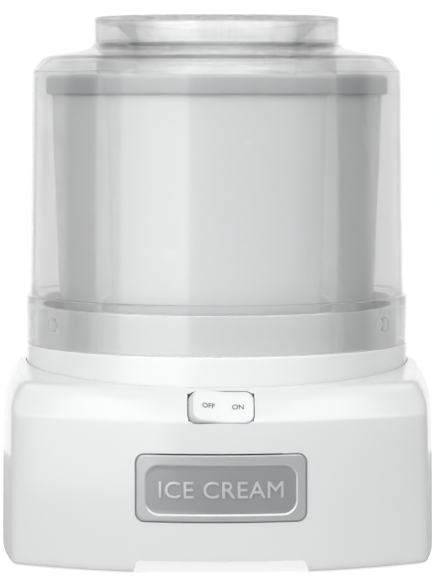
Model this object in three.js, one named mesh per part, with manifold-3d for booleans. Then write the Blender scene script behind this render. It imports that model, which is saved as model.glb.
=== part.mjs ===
// Counter-top ice cream maker: motor base with a bowl well, a double-walled freezer bowl that turns on the
// drive coupler, a mixing arm held still by the lid, and a clear lid with a filling spout.
// Millimetres, +Z up, front towards -Y, origin on the ground under the bowl's axis. Heights are dimensioned from
// a datum plane GROUND above the ground, and the whole assembly is raised by that at the end.
import * as THREE from 'three';
import { mergeVertices } from 'three/addons/utils/BufferGeometryUtils.js';
import Module from 'manifold-3d';

// ---------------------------------------------------------------- driving dimensions
const SEG = 36; // facets of a large round part
const SEG_S = 16; // facets of a small round part
const TAU = Math.PI * 2;

const SHELL_T = 2.8; // housing wall
const GROUND = 2.2; // datum plane above the ground
const HOUSING_Z0 = -1.4; // lowest edge of the housing, 0.8 above the ground
const ARCH_HALF = 43.5, ARCH_TOP = 4.6; // relief in the lower edge
const HOLE_R = 104.95; // deck hole that the collar fills

const COLLAR_R = 104.6, SEAM_Z = 108.2; // outer collar and the ledge the lid stands on
const RING_R0 = 96, RING_R1 = 98.9, RING_TOP = 129.3; // inner collar ring, inside the lid's skirt
const FLOOR_TOP = 90.6, FLOOR_BOT = 88.1; // floor of the well

const LID_TOP = 285.7, LID_BOT = 108.5, LID_SPLIT = 250.6; // the clear moulding, and the height at which it's divided in two
const PIN_Z = 121, PIN_R = 3.9, PIN_AT = [-150, -30, 90]; // locking pins on the lid's skirt, degrees

const BOWL_BOT = 92, RIM_TOP = 254.3, RIM_BOT = 243.6, RIM_R = 93.4;

const COVER_Z0 = 6.8, COVER_Z1 = 9.3; // bottom cover
const FEET = [[-80, -71], [80, -71], [-80, 71], [80, 71]];
const COVER_SCREWS = [[-90, -84.5], [90, -84.5], [-90, 84.5], [90, 84.5]];

const SW_C = new THREE.Vector3(0, -112.7, 83.1); // centre of the switch opening
const SW_TILT = 32.4; // lean of the switch face from the vertical, degrees
const SW_W = 34.6, SW_H = 19.4; // switch opening
const SW_PIVOT = -7.5; // depth of the rocker's pivot under the face
const SW_REST = 7; // rocker angle at rest, ON side in

const PLATE_W = 87.4, PLATE_H = 34.3, PLATE_Z = 42.4, PLATE_PROUD = 1.1; // front plate
const FRONT_R = 175, FRONT_Y = -120.8; // plan radius and foremost line of the front face

const GLAND_X = 62;
const GLAND = [GLAND_X, -FRONT_Y - (GLAND_X * GLAND_X) / (2 * FRONT_R), 24]; // where the cord enters the rear wall
const GLAND_TURN = Math.atan(GLAND_X / FRONT_R);

// gear train: three reductions, 4 : 1, 3.5 : 1 and 3 : 1
const G1 = { m: 1.25, pinion: 10, wheel: 40 };
const G2 = { m: 1.5, pinion: 10, wheel: 35 };
const G3 = { m: 1.75, pinion: 11, wheel: 33 };
const cd = (g) => (g.m * (g.pinion + g.wheel)) / 2;
const AX_OUT = [0, 0];
const AX_2 = [0, cd(G3)]; // second compound gear, behind the output gear
const AX_1 = [cd(G2), cd(G3)]; // first compound gear, to its right
const AX_M = [cd(G2), cd(G3) - cd(G1)]; // motor shaft, in front of the first

// ---------------------------------------------------------------- helpers
const wasm = await Module();
wasm.setup();

// a three.js geometry as a manifold-3d solid
function solid(geometry) {
  const g = geometry.clone();
  for (const k of Object.keys(g.attributes)) if (k !== 'position') g.deleteAttribute(k);
  const m = mergeVertices(g, 1e-4);
  const p = m.attributes.position.array, idx = m.index.array, tri = [];
  for (let i = 0; i < idx.length; i += 3) {
    const [a, b, c] = [idx[i], idx[i + 1], idx[i + 2]];
    if (a !== b && b !== c && a !== c) tri.push(a, b, c);
  }
  let v6 = 0;
  for (let i = 0; i < tri.length; i += 3) {
    const [a, b, c] = [tri[i] * 3, tri[i + 1] * 3, tri[i + 2] * 3];
    v6 += p[a] * (p[b + 1] * p[c + 2] - p[b + 2] * p[c + 1]) - p[a + 1] * (p[b] * p[c + 2] - p[b + 2] * p[c]) + p[a + 2] * (p[b] * p[c + 1] - p[b + 1] * p[c]);
  }
  if (v6 < 0) for (let i = 0; i < tri.length; i += 3) [tri[i + 1], tri[i + 2]] = [tri[i + 2], tri[i + 1]];
  return new wasm.Manifold(new wasm.Mesh({ numProp: 3, vertProperties: new Float32Array(p), triVerts: new Uint32Array(tri) }));
}

// a manifold-3d solid as a three.js geometry
function geo(s) {
  const m = s.getMesh();
  const v = new Float32Array(m.numVert * 3);
  for (let i = 0; i < m.numVert; i++) v.set(m.vertProperties.subarray(i * m.numProp, i * m.numProp + 3), i * 3);
  const g = new THREE.BufferGeometry();
  g.setAttribute('position', new THREE.BufferAttribute(v, 3));
  g.setIndex(new THREE.BufferAttribute(new Uint32Array(m.triVerts), 1));
  g.computeVertexNormals();
  return g;
}

const at = (g, x = 0, y = 0, z = 0) => g.translate(x, y, z);
const box = (x0, x1, y0, y1, z0, z1) => solid(at(new THREE.BoxGeometry(x1 - x0, y1 - y0, z1 - z0), (x0 + x1) / 2, (y0 + y1) / 2, (z0 + z1) / 2));
const cyl = (r, z0, z1, x = 0, y = 0, seg = SEG_S, r2 = r) => solid(at(new THREE.CylinderGeometry(r2, r, z1 - z0, seg).rotateX(Math.PI / 2), x, y, (z0 + z1) / 2));
// a closed profile of [radius, height] pairs turned about Z
const revGeo = (pts, seg = SEG) => new THREE.LatheGeometry([...pts, pts[0]].map(([r, z]) => new THREE.Vector2(r, z)), seg).rotateX(Math.PI / 2);
const rev = (pts, seg = SEG, x = 0, y = 0) => solid(at(revGeo(pts, seg), x, y, 0));
const shapeOf = (pts) => new THREE.Shape(pts.map(([x, y]) => new THREE.Vector2(x, y)));
const ext = (shape, z0, z1, curve = 6) => solid(at(new THREE.ExtrudeGeometry(shape, { depth: z1 - z0, bevelEnabled: false, curveSegments: curve }), 0, 0, z0));
const extPts = (pts, z0, z1) => ext(shapeOf(pts), z0, z1);
const join = (...s) => s.reduce((a, b) => a.add(b));
const cut = (a, ...s) => s.reduce((x, b) => x.subtract(b), a);
const move = (s, matrix) => solid(geo(s).applyMatrix4(matrix));

function roundRect(w, h, r, n = 5) {
  const pts = [];
  for (const [cx, cy, a0] of [[w / 2 - r, h / 2 - r, 0], [-w / 2 + r, h / 2 - r, 90], [-w / 2 + r, -h / 2 + r, 180], [w / 2 - r, -h / 2 + r, 270]])
    for (let i = 0; i <= n; i++) {
      const a = ((a0 + (90 * i) / n) * Math.PI) / 180;
      pts.push([cx + r * Math.cos(a), cy + r * Math.sin(a)]);
    }
  return pts;
}

const circle = (r, n = SEG_S, x = 0, y = 0) => Array.from({ length: n }, (_, i) => [x + r * Math.cos((TAU * i) / n), y + r * Math.sin((TAU * i) / n)]);

// convex outline round a set of circles [x, y, r]
function hullOf(circles, n = 24) {
  const p = circles.flatMap(([x, y, r]) => circle(r, n, x, y)).sort((a, b) => a[0] - b[0] || a[1] - b[1]);
  const cross = (o, a, b) => (a[0] - o[0]) * (b[1] - o[1]) - (a[1] - o[1]) * (b[0] - o[0]);
  const half = (list) => {
    const h = [];
    for (const q of list) {
      while (h.length > 1 && cross(h[h.length - 2], h[h.length - 1], q) <= 1e-6) h.pop();
      h.push(q);
    }
    h.pop();
    return h;
  };
  return [...half(p), ...half([...p].reverse())];
}

const table = (rows) => (z) => {
  if (z <= rows[0][0]) return rows[0][1];
  for (let i = 1; i < rows.length; i++)
    if (z <= rows[i][0]) {
      const [z0, a] = rows[i - 1], [z1, b] = rows[i];
      return a + ((b - a) * (z - z0)) / (z1 - z0);
    }
  return rows[rows.length - 1][1];
};

// ---------------------------------------------------------------- materials
const mat = (color, roughness, metalness = 0, extra = {}) => new THREE.MeshStandardMaterial({ color, roughness, metalness, ...extra });
const MAT = {
  white: mat(0xf0f1f1, 0.22),
  bowlWhite: mat(0xe9ebec, 0.3),
  clear: mat(0xf4f8f9, 0.06, 0, { transparent: true, opacity: 0.3 }),
  rim: mat(0xa9adaf, 0.38, 0.1),
  plate: mat(0xb4b7ba, 0.36, 0.75),
  arm: mat(0xf2f3f1, 0.35),
  alu: mat(0xc4c7c9, 0.34, 1),
  gel: mat(0x9fc9e6, 0.5),
  rubber: mat(0x2b2c2d, 0.85),
  steel: mat(0xb8babc, 0.3, 1),
  lam: mat(0x6c6f73, 0.5, 0.9),
  copper: mat(0xb06a3b, 0.35, 1),
  brass: mat(0xb99b55, 0.35, 1),
  bracket: mat(0x9b9ea1, 0.45, 0.9),
  gearWhite: mat(0xe6e2d4, 0.5),
  caseGrey: mat(0x56595c, 0.6),
  black: mat(0x1d1e1f, 0.55),
};

const root = new THREE.Group();
const group = (parent = root) => {
  const g = new THREE.Group();
  parent.add(g);
  return g;
};
function node(name, s, material, parent = root) {
  const mesh = new THREE.Mesh(s.isBufferGeometry ? s : geo(s), material);
  mesh.name = name;
  parent.add(mesh);
  return mesh;
}

// ---------------------------------------------------------------- housing surface
// Half width and half depth at each height; every face bows out in plan and the four meet in soft ridges.
const halfW = table([[-1.4, 116.1], [-0.9, 116.7], [0, 117.1], [1.5, 117.3], [10, 117.3], [50, 117.0], [67, 116.7], [73.3, 116.4], [79.7, 116.0], [83, 115.6], [86.2, 115.0], [89.4, 114.0], [92.7, 112.6], [95.9, 110.5], [99.2, 107.5], [101.5, 103.8], [103.2, 99.2], [104.5, 92], [105.3, 81], [106, 51]]);
const halfD = table([[-1.4, 119.8], [-0.9, 120.3], [0, 120.6], [1.5, 120.8], [10, 120.8], [50, 120.6], [62, 120.1], [70, 119.1], [76, 117.6], [81, 115.6], [85, 113.3], [88.8, 110.6], [91.5, 107.6], [92.9, 104.6], [94, 95.5], [95.2, 85], [96.3, 72], [97.2, 59], [98.5, 40], [100, 15], [100.6, 0.5]]);
const bowW = table([[0, 440], [80, 440], [94, 272], [100, 225], [106, 200]]);
const SOFT = 1.1; // softness of the ridges
function housingField(x, y, z, inset = 0) {
  const zz = z + inset;
  const a = Math.abs(x) - halfW(zz) + (y * y) / (2 * bowW(zz)) + inset;
  const b = Math.abs(y) - halfD(zz) + (x * x) / (2 * FRONT_R) + inset;
  const m = Math.max(a, b);
  return m + SOFT * Math.log(Math.exp((a - m) / SOFT) + Math.exp((b - m) / SOFT)) - SOFT * Math.LN2 * 0.35;
}
const ANGLES = [0, 8, 16, 24, 30, 34.5, 37.2, 38.9, 41, 45, 52, 61, 71, 81];
const ANGLES_IN = [0, 11, 22, 31, 36.5, 39, 44, 53, 66, 78];
function housingBlock(inset, zLow, walls, fans, angles) {
  const th = [];
  for (let q = 0; q < 4; q++)
    for (let i = 0; i < angles.length; i++)
      th.push(((q * 90 + (q % 2 === 0 ? angles[i] : i === 0 ? 0 : 90 - angles[angles.length - i])) * Math.PI) / 180);
  const find = (f) => {
    let lo = 0, hi = 90;
    for (let i = 0; i < 40; i++) {
      const mid = (lo + hi) / 2;
      if (f(mid) < 0) lo = mid;
      else hi = mid;
    }
    return (lo + hi) / 2;
  };
  const zc = 78;
  const rings = [];
  for (const z of [zLow, ...walls])
    rings.push(th.map((t) => {
      const c = Math.cos(t), s = Math.sin(t);
      const r = find((q) => housingField((60 + q) * c, (60 + q) * s, Math.max(z, HOUSING_Z0), inset)) + 60;
      return [r * c, r * s, z];
    }));
  for (const f of fans)
    rings.push(th.map((t) => {
      const c = Math.cos(t), s = Math.sin(t);
      const wall = find((q) => housingField((60 + q) * c, (60 + q) * s, zc, inset)) + 60;
      const rc = Math.max(96, wall - 20);
      if (f > 90) { // deck, from the fan's last ray inwards
        const r = rc + (96 - rc) * (f - 90);
        const zz = find((q) => housingField(r * c, r * s, 60 + q, inset)) + 60;
        return [r * c, r * s, zz];
      }
      const cf = Math.cos((f * Math.PI) / 180), sf = Math.sin((f * Math.PI) / 180);
      const q = find((d) => housingField((rc + d * cf) * c, (rc + d * cf) * s, zc + d * sf, inset));
      return [(rc + q * cf) * c, (rc + q * cf) * s, zc + q * sf];
    }));
  const n = th.length, pos = [], idx = [];
  for (const r of rings) for (const p of r) pos.push(...p);
  const bottom = rings.length * n, top = bottom + 1;
  pos.push(0, 0, zLow, 0, 0, rings[rings.length - 1][0][2]);
  for (let j = 0; j + 1 < rings.length; j++)
    for (let i = 0; i < n; i++) {
      const k = (i + 1) % n, a = j * n + i, b = j * n + k, c = a + n, d = b + n;
      idx.push(a, b, d, a, d, c);
    }
  for (let i = 0; i < n; i++) {
    const k = (i + 1) % n;
    idx.push(bottom, k, i, top, (rings.length - 1) * n + i, (rings.length - 1) * n + k);
  }
  const g = new THREE.BufferGeometry();
  g.setAttribute('position', new THREE.Float32BufferAttribute(pos, 3));
  g.setIndex(idx);
  return solid(g);
}
const outerBlock = housingBlock(0, HOUSING_Z0, [-0.7, 1, 60], [0, 15, 30, 45, 60, 75, 90, 91], ANGLES);
const innerBlock = housingBlock(SHELL_T, -6, [62], [0, 20, 40, 62, 90, 91], ANGLES_IN);
const coverBlock = housingBlock(SHELL_T + 0.45, -6, [62], [], ANGLES_IN);

// ---------------------------------------------------------------- switch frame of reference
const tilt = (SW_TILT * Math.PI) / 180;
const swU = new THREE.Vector3(1, 0, 0);
const swV = new THREE.Vector3(0, Math.sin(tilt), Math.cos(tilt));
const swN = new THREE.Vector3(0, -Math.cos(tilt), Math.sin(tilt));
const switchGroup = group();
switchGroup.applyMatrix4(new THREE.Matrix4().makeBasis(swU, swV, swN).setPosition(SW_C));
switchGroup.updateMatrix();

// ---------------------------------------------------------------- base housing
{
  let h = cut(outerBlock, innerBlock);
  h = cut(h, cyl(HOLE_R, 60, 120, 0, 0, SEG));
  // reliefs in the lower edge, front and rear, with sloping ends
  const arch = [[-ARCH_HALF - 2.6, -5], [ARCH_HALF + 2.6, -5], [ARCH_HALF + 1.4, 1.2], [ARCH_HALF - 1, ARCH_TOP], [-ARCH_HALF + 1, ARCH_TOP], [-ARCH_HALF - 1.4, 1.2]];
  const archCut = solid(new THREE.ExtrudeGeometry(shapeOf(arch), { depth: 280, bevelEnabled: false }).rotateX(Math.PI / 2).translate(0, 140, 0));
  h = cut(h, archCut);
  // screw bosses in the corners, tied to the walls
  for (const [x, y] of COVER_SCREWS) {
    const sx = Math.sign(x), sy = Math.sign(y);
    const rib = new THREE.BoxGeometry(20, 2.2, 24).rotateZ(Math.atan2(sy * 8, sx * 10)).translate(x + sx * 7, y + sy * 5.6, 21.6);
    h = join(h, join(cyl(4.4, COVER_Z1 + 0.3, 33.6, x, y, 16), solid(rib)).intersect(outerBlock));
    h = cut(h, cyl(1.95, 0, 26, x, y, 12));
  }
  // posts under the deck that hold the well
  for (const a of [38, 142, 218, 322]) {
    const x = 120 * Math.cos((a * Math.PI) / 180), y = 120 * Math.sin((a * Math.PI) / 180);
    h = join(h, cyl(4, 80.4, 97, x, y, 14).intersect(outerBlock));
    h = cut(h, cyl(1.75, 70, 89, x, y, 12));
  }
  // switch opening, plate recess and cord hole
  const swCut = solid(new THREE.ExtrudeGeometry(shapeOf(roundRect(SW_W, SW_H, 4.9)), { depth: 30, bevelEnabled: false }).translate(0, 0, -18).applyMatrix4(switchGroup.matrix));
  // the ends flare inwards to clear the rocker's arc
  const flare = solid(new THREE.CylinderGeometry(18.9, 18.9, SW_H - 3, 40).translate(0, 0, SW_PIVOT).applyMatrix4(switchGroup.matrix));
  h = cut(h, flare);
  h = cut(h, swCut);
  const recess = solid(new THREE.ExtrudeGeometry(shapeOf(roundRect(PLATE_W + 0.7, PLATE_H + 0.7, 4.6, 4)), { depth: 30, bevelEnabled: false }).rotateX(Math.PI / 2).translate(0, -100, PLATE_Z));
  const frontCyl = (r) => cyl(r, 10, 75, 0, FRONT_Y + FRONT_R, 168);
  h = cut(h, recess.subtract(frontCyl(FRONT_R - 1.4)));
  h = cut(h, solid(new THREE.CylinderGeometry(6.9, 6.9, 20, 20).rotateZ(-GLAND_TURN).translate(GLAND[0], GLAND[1], GLAND[2])));
  node('base_housing', h, MAT.white);

  // front plate: a bowed frame round a sunk panel
  const body = solid(new THREE.ExtrudeGeometry(shapeOf(roundRect(PLATE_W, PLATE_H, 4.3, 4)), { depth: 30, bevelEnabled: false }).rotateX(Math.PI / 2).translate(0, -100, PLATE_Z));
  const panel = solid(new THREE.ExtrudeGeometry(shapeOf(roundRect(77.6, 25.4, 7.4, 5)), { depth: 30, bevelEnabled: false }).rotateX(Math.PI / 2).translate(0, -100, 41.6));
  let plate = body.intersect(frontCyl(FRONT_R + PLATE_PROUD)).subtract(frontCyl(FRONT_R - 1.1));
  plate = plate.subtract(panel.subtract(frontCyl(FRONT_R + PLATE_PROUD - 0.8)));
  node('nameplate', plate, MAT.plate);
}

// ---------------------------------------------------------------- bowl well and collar
{
  let w = rev([
    [9.3, FLOOR_BOT], [94, FLOOR_BOT], [RING_R1, FLOOR_BOT + 4.5], [RING_R1, 105.4], [101.8, 105.4], [101.8, 84], [COLLAR_R, 84], [COLLAR_R, SEAM_Z - 0.8], [COLLAR_R - 0.8, SEAM_Z],
    [RING_R1, SEAM_Z], [RING_R1, RING_TOP - 0.7], [RING_R1 - 0.7, RING_TOP], [RING_R0 + 0.7, RING_TOP], [RING_R0, RING_TOP - 0.7], [RING_R0, FLOOR_TOP + 4], [92.5, FLOOR_TOP],
    [12.2, FLOOR_TOP], [12.2, 94.6], [9.3, 94.6],
  ]);
  // open grooves for the lid's locking pins
  for (const a of PIN_AT)
    w = cut(w, solid(new THREE.BoxGeometry(4, 2 * PIN_R + 1.6, 20).translate(99.2, 0, PIN_Z - PIN_R - 0.8 + 10).rotateZ((a * Math.PI) / 180)));
  // clearance for the switch under the skirt
  w = cut(w, box(-20, 20, -110, -99, 80, 92.2));
  // lugs under the housing's posts
  for (const a of [38, 142, 218, 322]) {
    const lug = join(
      solid(new THREE.BoxGeometry(18, 9, 2.6).translate(112.4, 0, 78.6).rotateZ((a * Math.PI) / 180)),
      solid(new THREE.BoxGeometry(2.6, 9, 8).translate(103.3, 0, 81.3).rotateZ((a * Math.PI) / 180)),
    );
    const x = 120 * Math.cos((a * Math.PI) / 180), y = 120 * Math.sin((a * Math.PI) / 180);
    w = cut(join(w, lug, cyl(4.5, 77.3, 79.9, x, y, 14)), cyl(1.95, 70, 85, x, y, 12));
  }
  // posts for the gearbox screws
  for (const [x, y] of gearboxEars()) w = cut(join(w, cyl(4.2, 86.1, FLOOR_BOT + 0.5, x, y, 14)), cyl(1.95, 80, 90.2, x, y, 12));
  node('bowl_well', w, MAT.white);
  [38, 142, 218, 322].forEach((a, i) => {
    const x = 120 * Math.cos((a * Math.PI) / 180), y = 120 * Math.sin((a * Math.PI) / 180);
    node('well_screw_' + (i + 1), screw(3.1, 2.1, 1.45, 11), MAT.steel).position.set(x, y, 77);
  });
}

// pan-head screw, head down, with its head's top face at the origin and its shank rising
function screw(headR, headH, r, length) {
  return join(cyl(headR, -headH, 0, 0, 0, 12), cyl(r, -0.2, length, 0, 0, 8)).subtract(box(-0.5, 0.5, -headR * 0.7, headR * 0.7, -headH - 1, -headH + 0.9));
}

// ---------------------------------------------------------------- bottom cover, feet and its screws
{
  let c = coverBlock.intersect(box(-130, 130, -130, 130, COVER_Z0, COVER_Z1));
  const cuts = [];
  for (const [x, y] of FEET) cuts.push(cyl(3.4, 0, 20, x, y, 14));
  for (const [x, y] of COVER_SCREWS) cuts.push(cyl(1.95, 0, 20, x, y, 12));
  for (let i = -3; i <= 3; i++) cuts.push(box(18 + i * 7 - 1.6, 18 + i * 7 + 1.6, -24, 30, 0, 20));
  c = cut(c, ...cuts);
  node('bottom_cover', c, MAT.white);
  const names = ['front_left', 'front_right', 'rear_left', 'rear_right'];
  FEET.forEach(([x, y], i) => {
    const f = rev([[0, -GROUND], [8.6, -GROUND], [9.6, -GROUND + 1], [10, COVER_Z0 - 0.3], [3, COVER_Z0 - 0.3], [3, COVER_Z1 + 0.3], [4.2, COVER_Z1 + 0.8], [2.6, COVER_Z1 + 3], [0, COVER_Z1 + 3]], 12, 0, 0);
    node('foot_' + names[i], f, MAT.rubber).position.set(x, y, 0);
  });
  COVER_SCREWS.forEach(([x, y], i) => {
    node('cover_screw_' + (i + 1), screw(3.4, 2.2, 1.6, 18), MAT.steel).position.set(x, y, COVER_Z0 - 0.3);
  });
}

// ---------------------------------------------------------------- rocker switch
{
  // cap profile across its width: two faces meeting in a valley, ends rounded about the pivot
  const R = Math.hypot(SW_W / 2 - 0.45, -SW_PIVOT);
  const prof = [];
  const endAt = (h) => Math.sqrt(R * R - h * h);
  const faceTop = (u) => 1.0 + Math.abs(u) * Math.tan((SW_REST * Math.PI) / 180); // above the face, level rocker
  prof.push([-15.2, -3.4], [15.2, -3.4]);
  const side = [];
  for (const h of [4.1, 6, 8, 9.6]) side.push([endAt(h), h + SW_PIVOT]);
  const uTop = 14.6;
  side.push([endAt(10.1) - 0.25, 10.1 + SW_PIVOT - 0.05], [uTop, faceTop(uTop) - 0.05]);
  const right = side;
  const left = [...side].reverse().map(([u, n]) => [-u, n]);
  const shape = [...prof.slice(0, 0), [-15.2, -3.4], [15.2, -3.4], ...right, [8, faceTop(8)], [0, faceTop(0)], [-8, faceTop(8)], ...left];
  let cap = solid(new THREE.ExtrudeGeometry(shapeOf(shape), { depth: SW_H - 0.9, bevelEnabled: false }).rotateX(Math.PI / 2).translate(0, SW_H / 2 - 0.45, 0));
  cap = cap.intersect(extPts(roundRect(2 * R + 0.2, SW_H - 1, 7.4, 6), -12, 12));
  const pin = solid(new THREE.CylinderGeometry(1.5, 1.5, 21.8, 12).translate(0, 0, SW_PIVOT));
  const rock = join(cap, box(-4.4, 4.4, -8.4, 8.4, -11, -3), pin);
  // the rocker is modelled level and turned about its pivot to rest with ON in
  const r = node('power_rocker', rock, MAT.white, switchGroup);
  const turn = new THREE.Matrix4().makeTranslation(0, 0, SW_PIVOT).multiply(new THREE.Matrix4().makeRotationY((SW_REST * Math.PI) / 180)).multiply(new THREE.Matrix4().makeTranslation(0, 0, -SW_PIVOT));
  r.applyMatrix4(turn);
  // switch body: a channel with two cheeks that carry the pivot, and three terminals
  let b = join(
    box(-12.2, 12.2, -11.3, -9.7, -22, -5.4),
    box(-12.2, 12.2, 9.7, 11.3, -22, -5.4),
    box(-12.2, 12.2, -11.3, 11.3, -24, -13.5),
    box(-8.4, -7.6, -2.4, 2.4, -30, -23.8), box(-0.4, 0.4, -2.4, 2.4, -30, -23.8), box(7.6, 8.4, -2.4, 2.4, -30, -23.8),
  );
  b = cut(b, solid(new THREE.CylinderGeometry(1.85, 1.85, 30, 12).translate(0, 0, SW_PIVOT)));
  node('switch_body', b, MAT.black, switchGroup);
}

// ---------------------------------------------------------------- cord gland in the rear wall
{
  const g = solid(revGeo([[3.4, -7], [6.3, -7], [8.2, -5.2], [8.2, -3.6], [6.5, -3.6], [6.5, 0.45], [9.4, 0.45], [9.4, 2.2], [8.4, 3], [3.9, 3], [3.4, 2.5]], SEG_S).rotateX(-Math.PI / 2));
  const m = node('cord_gland', g, MAT.rubber);
  m.rotation.z = -GLAND_TURN;
  m.position.set(...GLAND);
}

// ---------------------------------------------------------------- gearbox
// involute spur gear outline, teeth thinned for backlash, a tooth centred on the angle `phase`
function gearPts(m, n, phase = 0, backlash = 0.2) {
  const al = (25 * Math.PI) / 180, r = (m * n) / 2, rb = r * Math.cos(al), ra = r + 0.86 * m, rf = r - 1.14 * m;
  const inv = (a) => Math.tan(a) - a;
  const half = (q) => (Math.PI * m / 2 - backlash) / 2 / r + inv(al) - (q > rb ? inv(Math.acos(rb / q)) : 0);
  const rs = Math.max(rf + 0.02, rb);
  const radii = n >= 30 ? [rf, ra] : rs > rf + 0.12 * m ? [rs, r, ra] : [rf, r, ra];
  const pts = [];
  for (let i = 0; i < n; i++) {
    const c = phase + (TAU * i) / n;
    const flank = radii.map((q) => [q, half(q)]);
    if (radii[0] !== rf) flank.unshift([rf, half(rs) * 0.98]);
    for (const [q, h] of flank) pts.push([q * Math.cos(c - h), q * Math.sin(c - h)]);
    for (const [q, h] of [...flank].reverse()) pts.push([q * Math.cos(c + h), q * Math.sin(c + h)]);
  }
  return pts;
}
function gearboxEars() {
  return [[-33, -18], [27, -27], [-30, 58]];
}
const dirTo = (a, b) => Math.atan2(b[1] - a[1], b[0] - a[0]);
// a wheel meshing with a pinion whose tooth points along the line of centres has a gap there
const PH_OUT = dirTo(AX_OUT, AX_2) + Math.PI / G3.wheel; // gap towards the second gear
const PH_P3 = dirTo(AX_2, AX_OUT); // tooth towards the output gear
const PH_W2 = dirTo(AX_2, AX_1) + Math.PI / G2.wheel;
const PH_P2 = dirTo(AX_1, AX_2);
const PH_W1 = dirTo(AX_1, AX_M) + Math.PI / G1.wheel;
const PH_P1 = dirTo(AX_M, AX_1);
{
  const pockets = [[...AX_OUT, 32.5], [...AX_2, 30], [...AX_1, 28.6], [...AX_M, 12]];
  const ears = gearboxEars();
  const outer = hullOf([...pockets.map(([x, y, r]) => [x, y, r + 2.2]), [AX_M[0] + 22, AX_M[1], 5.4]], 20);
  const inner = hullOf(pockets, 20);
  let c = extPts(outer, 50.5, 82.2).subtract(extPts(inner, 53, 90));
  for (const [x, y] of ears) c = join(c, cyl(4.6, 70, 82.2, x, y, 14).subtract(extPts(inner, 40, 100)));
  for (const [x, y] of [AX_1, AX_2]) c = join(c, cyl(5, 52, 54.6, x, y, 14));
  c = join(c, cyl(7.5, 52, 58, ...AX_OUT, 16));
  for (const dx of [-22, 22]) c = join(c, cyl(3.6, 49.9, 51, AX_M[0] + dx, AX_M[1], 12));
  c = cut(c, cyl(4.35, 53.6, 90, ...AX_OUT, 16), cyl(2.85, 51.5, 90, ...AX_1, 14), cyl(2.85, 51.5, 90, ...AX_2, 14), cyl(7.2, 40, 60, ...AX_M, 18));
  for (const [x, y] of ears) c = cut(c, cyl(1.95, 60, 90, x, y, 12));
  for (const dx of [-22, 22]) c = cut(c, cyl(2.05, 40, 60, AX_M[0] + dx, AX_M[1], 12));
  node('gearbox_case', c, MAT.caseGrey);

  let k = extPts(outer, 82.6, 85.2);
  for (const [x, y] of ears) k = join(k, cyl(4.6, 82.6, 85.2, x, y, 14));
  k = join(k, cyl(9, 84, 90.4, ...AX_OUT, 18));
  k = cut(k, cyl(5.8, 70, 100, ...AX_OUT, 16), cyl(2.85, 70, 84.2, ...AX_1, 14), cyl(2.85, 70, 84.2, ...AX_2, 14));
  for (const [x, y] of ears) k = cut(k, cyl(1.95, 60, 90, x, y, 12));
  node('gearbox_cover', k, MAT.caseGrey);
  ears.forEach(([x, y], i) => node('gearbox_screw_' + (i + 1), screw(3.1, 2.1, 1.55, 20), MAT.steel).position.set(x, y, 69.6));
  node('gear_axle_1', cyl(2.5, 51.9, 83.9, ...AX_1, 14), MAT.steel);
  node('gear_axle_2', cyl(2.5, 51.9, 83.9, ...AX_2, 14), MAT.steel);
  node('output_bush', rev([[4.3, 81], [7.6, 81], [7.6, 82.2], [5.5, 82.2], [5.5, 90.4], [4.3, 90.4]], 16), MAT.brass);
  node('shaft_seal', rev([[4.35, 91.6], [4.9, 90.8], [9, 90.8], [9, 94.6], [4.9, 94.6], [4.35, 93.8]], 18), MAT.rubber);
}

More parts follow.
